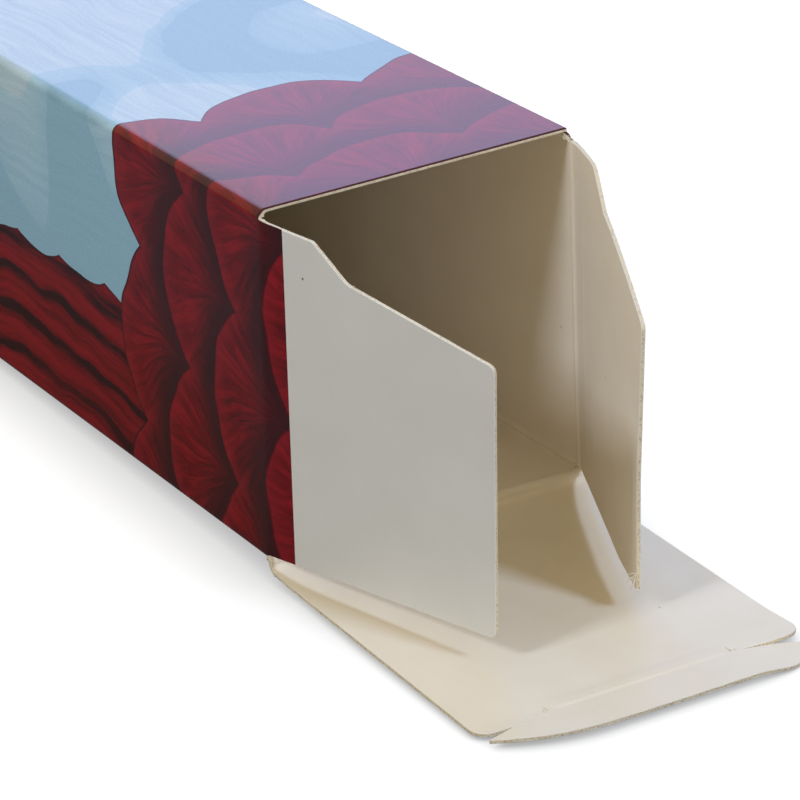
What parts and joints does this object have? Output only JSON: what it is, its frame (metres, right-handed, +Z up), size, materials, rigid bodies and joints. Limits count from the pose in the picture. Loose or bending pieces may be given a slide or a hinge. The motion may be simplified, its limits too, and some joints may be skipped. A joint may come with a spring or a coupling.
{
  "type": "tuck end box",
  "caption": "Square folding carton of creased board with a glued seam, hinged dust flaps and slit-lock tuck lids, standing open at its near end.",
  "frame": {"origin": "middle of the sleeve's underside", "axes": "+X along the sleeve towards the open end, +Y across it towards the glued seam's side, +Z up"},
  "size_m": [0.2006, 0.045, 0.0489],
  "materials": {
    "printed_board": "crimson and blue offset print under a gloss film, on white folding boxboard",
    "white_board": "matt warm-white inside of folding boxboard, with a cream cut edge"
  },
  "bodies": {
    "sleeve": {"sleeve": "printed_board"},
    "left_flap": {"left_dust_flap": "white_board"},
    "right_flap": {"right_dust_flap": "white_board"},
    "near_lid": {"near_lid": "white_board"},
    "near_tab": {"near_tuck_tab": "white_board"},
    "far_lid": {"far_lid": "printed_board"}
  },
  "joints": [
    {"name": "left_flap_fold", "type": "hinge", "parent": "sleeve", "child": "left_flap", "pos_m": [0.07555, -0.02225, 0.0225], "axis": [0, 0, -1], "range_deg": [-71, 146]},
    {"name": "right_flap_fold", "type": "hinge", "parent": "sleeve", "child": "right_flap", "pos_m": [0.07555, 0.02225, 0.0225], "axis": [0, 0, 1], "range_deg": [-63.5, 150]},
    {"name": "near_lid_fold", "type": "hinge", "parent": "sleeve", "child": "near_lid", "pos_m": [0.07555, 0, 0.00025], "axis": [0, 1, 0], "range_deg": [-5.5, 98]},
    {"name": "near_tab_fold", "type": "hinge", "parent": "near_lid", "child": "near_tab", "pos_m": [0.11858, 0, -0.00309], "axis": [0, 1, 0], "range_deg": [-93, 100]},
    {"name": "far_lid_fold", "type": "hinge", "parent": "sleeve", "child": "far_lid", "pos_m": [-0.07555, 0, 0.04475], "axis": [0, 1, 0], "range_deg": [0, 215]}
  ]
}
